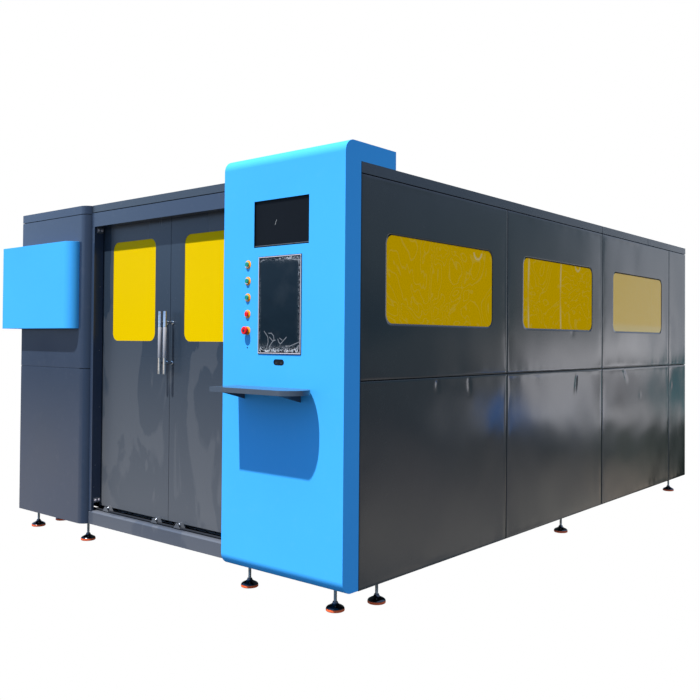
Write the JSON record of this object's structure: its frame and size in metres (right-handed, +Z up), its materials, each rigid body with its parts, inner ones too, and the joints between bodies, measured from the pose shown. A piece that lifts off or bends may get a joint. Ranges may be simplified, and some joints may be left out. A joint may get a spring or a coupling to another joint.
{
  "type": "fiber laser cutting machine",
  "caption": "Enclosed sheet-metal laser cutter: dark panelled cabin on levelling feet, sliding front doors, yellow windows, blue control tower and side pod, gantry with cutting head inside.",
  "frame": {"origin": "on the floor, under the centre of the overall box", "axes": "+X across the front from the left cabinet to the control tower, +Y from the front to the rear, +Z up"},
  "size_m": [3.061, 4.848, 2.2],
  "materials": {
    "charcoal_paint": "semi-gloss powder coat",
    "blue_paint": "satin powder coat",
    "grey_machine_paint": "satin enamel",
    "yellow_acrylic": "opaque yellow safety sheet",
    "black_glass": "glossy screen",
    "brushed_steel": "brushed",
    "slat_steel": "bare, scorched",
    "chrome": "polished",
    "zinc_plate": "zinc plated",
    "orange_rubber": "moulded",
    "yellow_plastic": "label plate",
    "black_plastic": "moulded",
    "green_plastic": "moulded",
    "red_plastic": "moulded",
    "aluminium": "machined"
  },
  "bodies": {
    "machine": {"base_frame": "charcoal_paint", "enclosure_frame": "charcoal_paint", "floor_tray": "grey_machine_paint", "right_upper_panels": "charcoal_paint", "right_lower_panels": "charcoal_paint", "right_windows": "yellow_acrylic", "left_panels": "charcoal_paint", "rear_panels": "charcoal_paint", "roof_covers": "charcoal_paint", "exhaust_spigot": "brushed_steel", "tower_shell": "blue_paint", "upper_monitor": "black_glass", "lower_monitor": "black_glass", "lower_monitor_frame": "brushed_steel", "keyboard_shelf": "charcoal_paint", "button_rings": "yellow_plastic", "button_bodies": "chrome", "cabinet_panels": "charcoal_paint", "side_pod": "blue_paint", "door_header": "charcoal_paint", "top_guide": "charcoal_paint", "door_sill": "charcoal_paint", "track_rod": "brushed_steel", "foot_pads": "orange_rubber", "foot_studs": "zinc_plate", "foot_nuts": "zinc_plate", "bed_frame": "grey_machine_paint", "bed_rails": "brushed_steel", "bed_racks": "brushed_steel", "slat_combs": "slat_steel", "cutting_slats": "slat_steel", "laser_source": "grey_machine_paint", "electrical_cabinet": "charcoal_paint"},
    "left_door": {"left_door_leaf": "charcoal_paint", "left_door_window": "yellow_acrylic", "left_door_handle": "chrome"},
    "left_roller_1": {"left_door_roller_1": "brushed_steel"},
    "left_roller_2": {"left_door_roller_2": "brushed_steel"},
    "right_door": {"right_door_leaf": "charcoal_paint", "right_door_window": "yellow_acrylic", "right_door_handle": "chrome"},
    "right_roller_1": {"right_door_roller_1": "brushed_steel"},
    "right_roller_2": {"right_door_roller_2": "brushed_steel"},
    "gantry": {"gantry_beam": "grey_machine_paint", "beam_rails": "brushed_steel", "gantry_motors": "black_plastic"},
    "left_pinion": {"left_pinion": "brushed_steel"},
    "right_pinion": {"right_pinion": "brushed_steel"},
    "carriage": {"head_carriage": "aluminium", "carriage_motors": "black_plastic"},
    "carriage_pinion": {"carriage_pinion": "brushed_steel"},
    "head": {"head_slide": "aluminium", "cutting_head": "aluminium"},
    "lift_screw": {"lift_screw": "brushed_steel"},
    "push_button_1": {"push_button_1": "green_plastic"},
    "push_button_2": {"push_button_2": "green_plastic"},
    "push_button_3": {"push_button_3": "green_plastic"},
    "push_button_4": {"push_button_4": "red_plastic"},
    "estop_stem": {"estop_stem": "black_plastic"},
    "estop_head": {"estop_head": "red_plastic"}
  },
  "joints": [
    {"name": "left_door_slide", "type": "slide", "parent": "machine", "child": "left_door", "axis": [-1, 0, 0], "range_m": [0, 0.635]},
    {"name": "left_roller_1_spin", "type": "hinge", "parent": "left_door", "child": "left_roller_1", "pos_m": [-0.501, -2.102, 0.22], "axis": [0, 1, 0], "continuous": true},
    {"name": "left_roller_2_spin", "type": "hinge", "parent": "left_door", "child": "left_roller_2", "pos_m": [-0.015, -2.102, 0.22], "axis": [0, 1, 0], "continuous": true},
    {"name": "right_door_slide", "type": "slide", "parent": "machine", "child": "right_door", "axis": [1, 0, 0], "range_m": [0, 0.6]},
    {"name": "right_roller_1_spin", "type": "hinge", "parent": "right_door", "child": "right_roller_1", "pos_m": [0.196, -2.102, 0.22], "axis": [0, 1, 0], "continuous": true},
    {"name": "right_roller_2_spin", "type": "hinge", "parent": "right_door", "child": "right_roller_2", "pos_m": [0.682, -2.102, 0.22], "axis": [0, 1, 0], "continuous": true},
    {"name": "gantry_travel", "type": "slide", "parent": "machine", "child": "gantry", "axis": [0, -1, 0], "range_m": [0, 2.6]},
    {"name": "left_pinion_spin", "type": "hinge", "parent": "gantry", "child": "left_pinion", "pos_m": [-0.85165, 1.226, 0.8], "axis": [0, 0, 1], "continuous": true},
    {"name": "right_pinion_spin", "type": "hinge", "parent": "gantry", "child": "right_pinion", "pos_m": [0.97765, 1.226, 0.8], "axis": [0, 0, 1], "continuous": true},
    {"name": "carriage_travel", "type": "slide", "parent": "gantry", "child": "carriage", "axis": [1, 0, 0], "range_m": [-0.65, 0.65]},
    {"name": "carriage_pinion_spin", "type": "hinge", "parent": "carriage", "child": "carriage_pinion", "pos_m": [-0.042, 0.996, 0.97785], "axis": [0, 1, 0], "continuous": true},
    {"name": "head_lift", "type": "slide", "parent": "carriage", "child": "head", "axis": [0, 0, -1], "range_m": [0, 0.12]},
    {"name": "lift_screw_spin", "type": "hinge", "parent": "carriage", "child": "lift_screw", "pos_m": [0.143, 0.931, 1.13], "axis": [0, 0, 1], "continuous": true},
    {"name": "push_button_1_press", "type": "slide", "parent": "machine", "child": "push_button_1", "axis": [0, 1, 0], "range_m": [0, 0.004], "stiffness_N_per_m": 300},
    {"name": "push_button_2_press", "type": "slide", "parent": "machine", "child": "push_button_2", "axis": [0, 1, 0], "range_m": [0, 0.004], "stiffness_N_per_m": 300},
    {"name": "push_button_3_press", "type": "slide", "parent": "machine", "child": "push_button_3", "axis": [0, 1, 0], "range_m": [0, 0.004], "stiffness_N_per_m": 300},
    {"name": "push_button_4_press", "type": "slide", "parent": "machine", "child": "push_button_4", "axis": [0, 1, 0], "range_m": [0, 0.004], "stiffness_N_per_m": 300},
    {"name": "estop_press", "type": "slide", "parent": "machine", "child": "estop_stem", "axis": [0, 1, 0], "range_m": [0, 0.006]},
    {"name": "estop_twist", "type": "hinge", "parent": "estop_stem", "child": "estop_head", "pos_m": [0.892, -2.234, 1.32], "axis": [0, -1, 0], "range_deg": [-40, 0], "stiffness_Nm_per_rad": 0.02}
  ],
  "couplings": [
    {"joint": "left_roller_1_spin", "follows": "left_door_slide", "rad_per_m": -125},
    {"joint": "left_roller_2_spin", "follows": "left_door_slide", "rad_per_m": -125},
    {"joint": "right_roller_1_spin", "follows": "right_door_slide", "rad_per_m": 125},
    {"joint": "right_roller_2_spin", "follows": "right_door_slide", "rad_per_m": 125},
    {"joint": "left_pinion_spin", "follows": "gantry_travel", "rad_per_m": 33.333},
    {"joint": "right_pinion_spin", "follows": "gantry_travel", "rad_per_m": -33.333},
    {"joint": "carriage_pinion_spin", "follows": "carriage_travel", "rad_per_m": -33.333},
    {"joint": "lift_screw_spin", "follows": "head_lift", "rad_per_m": 628.32}
  ]
}
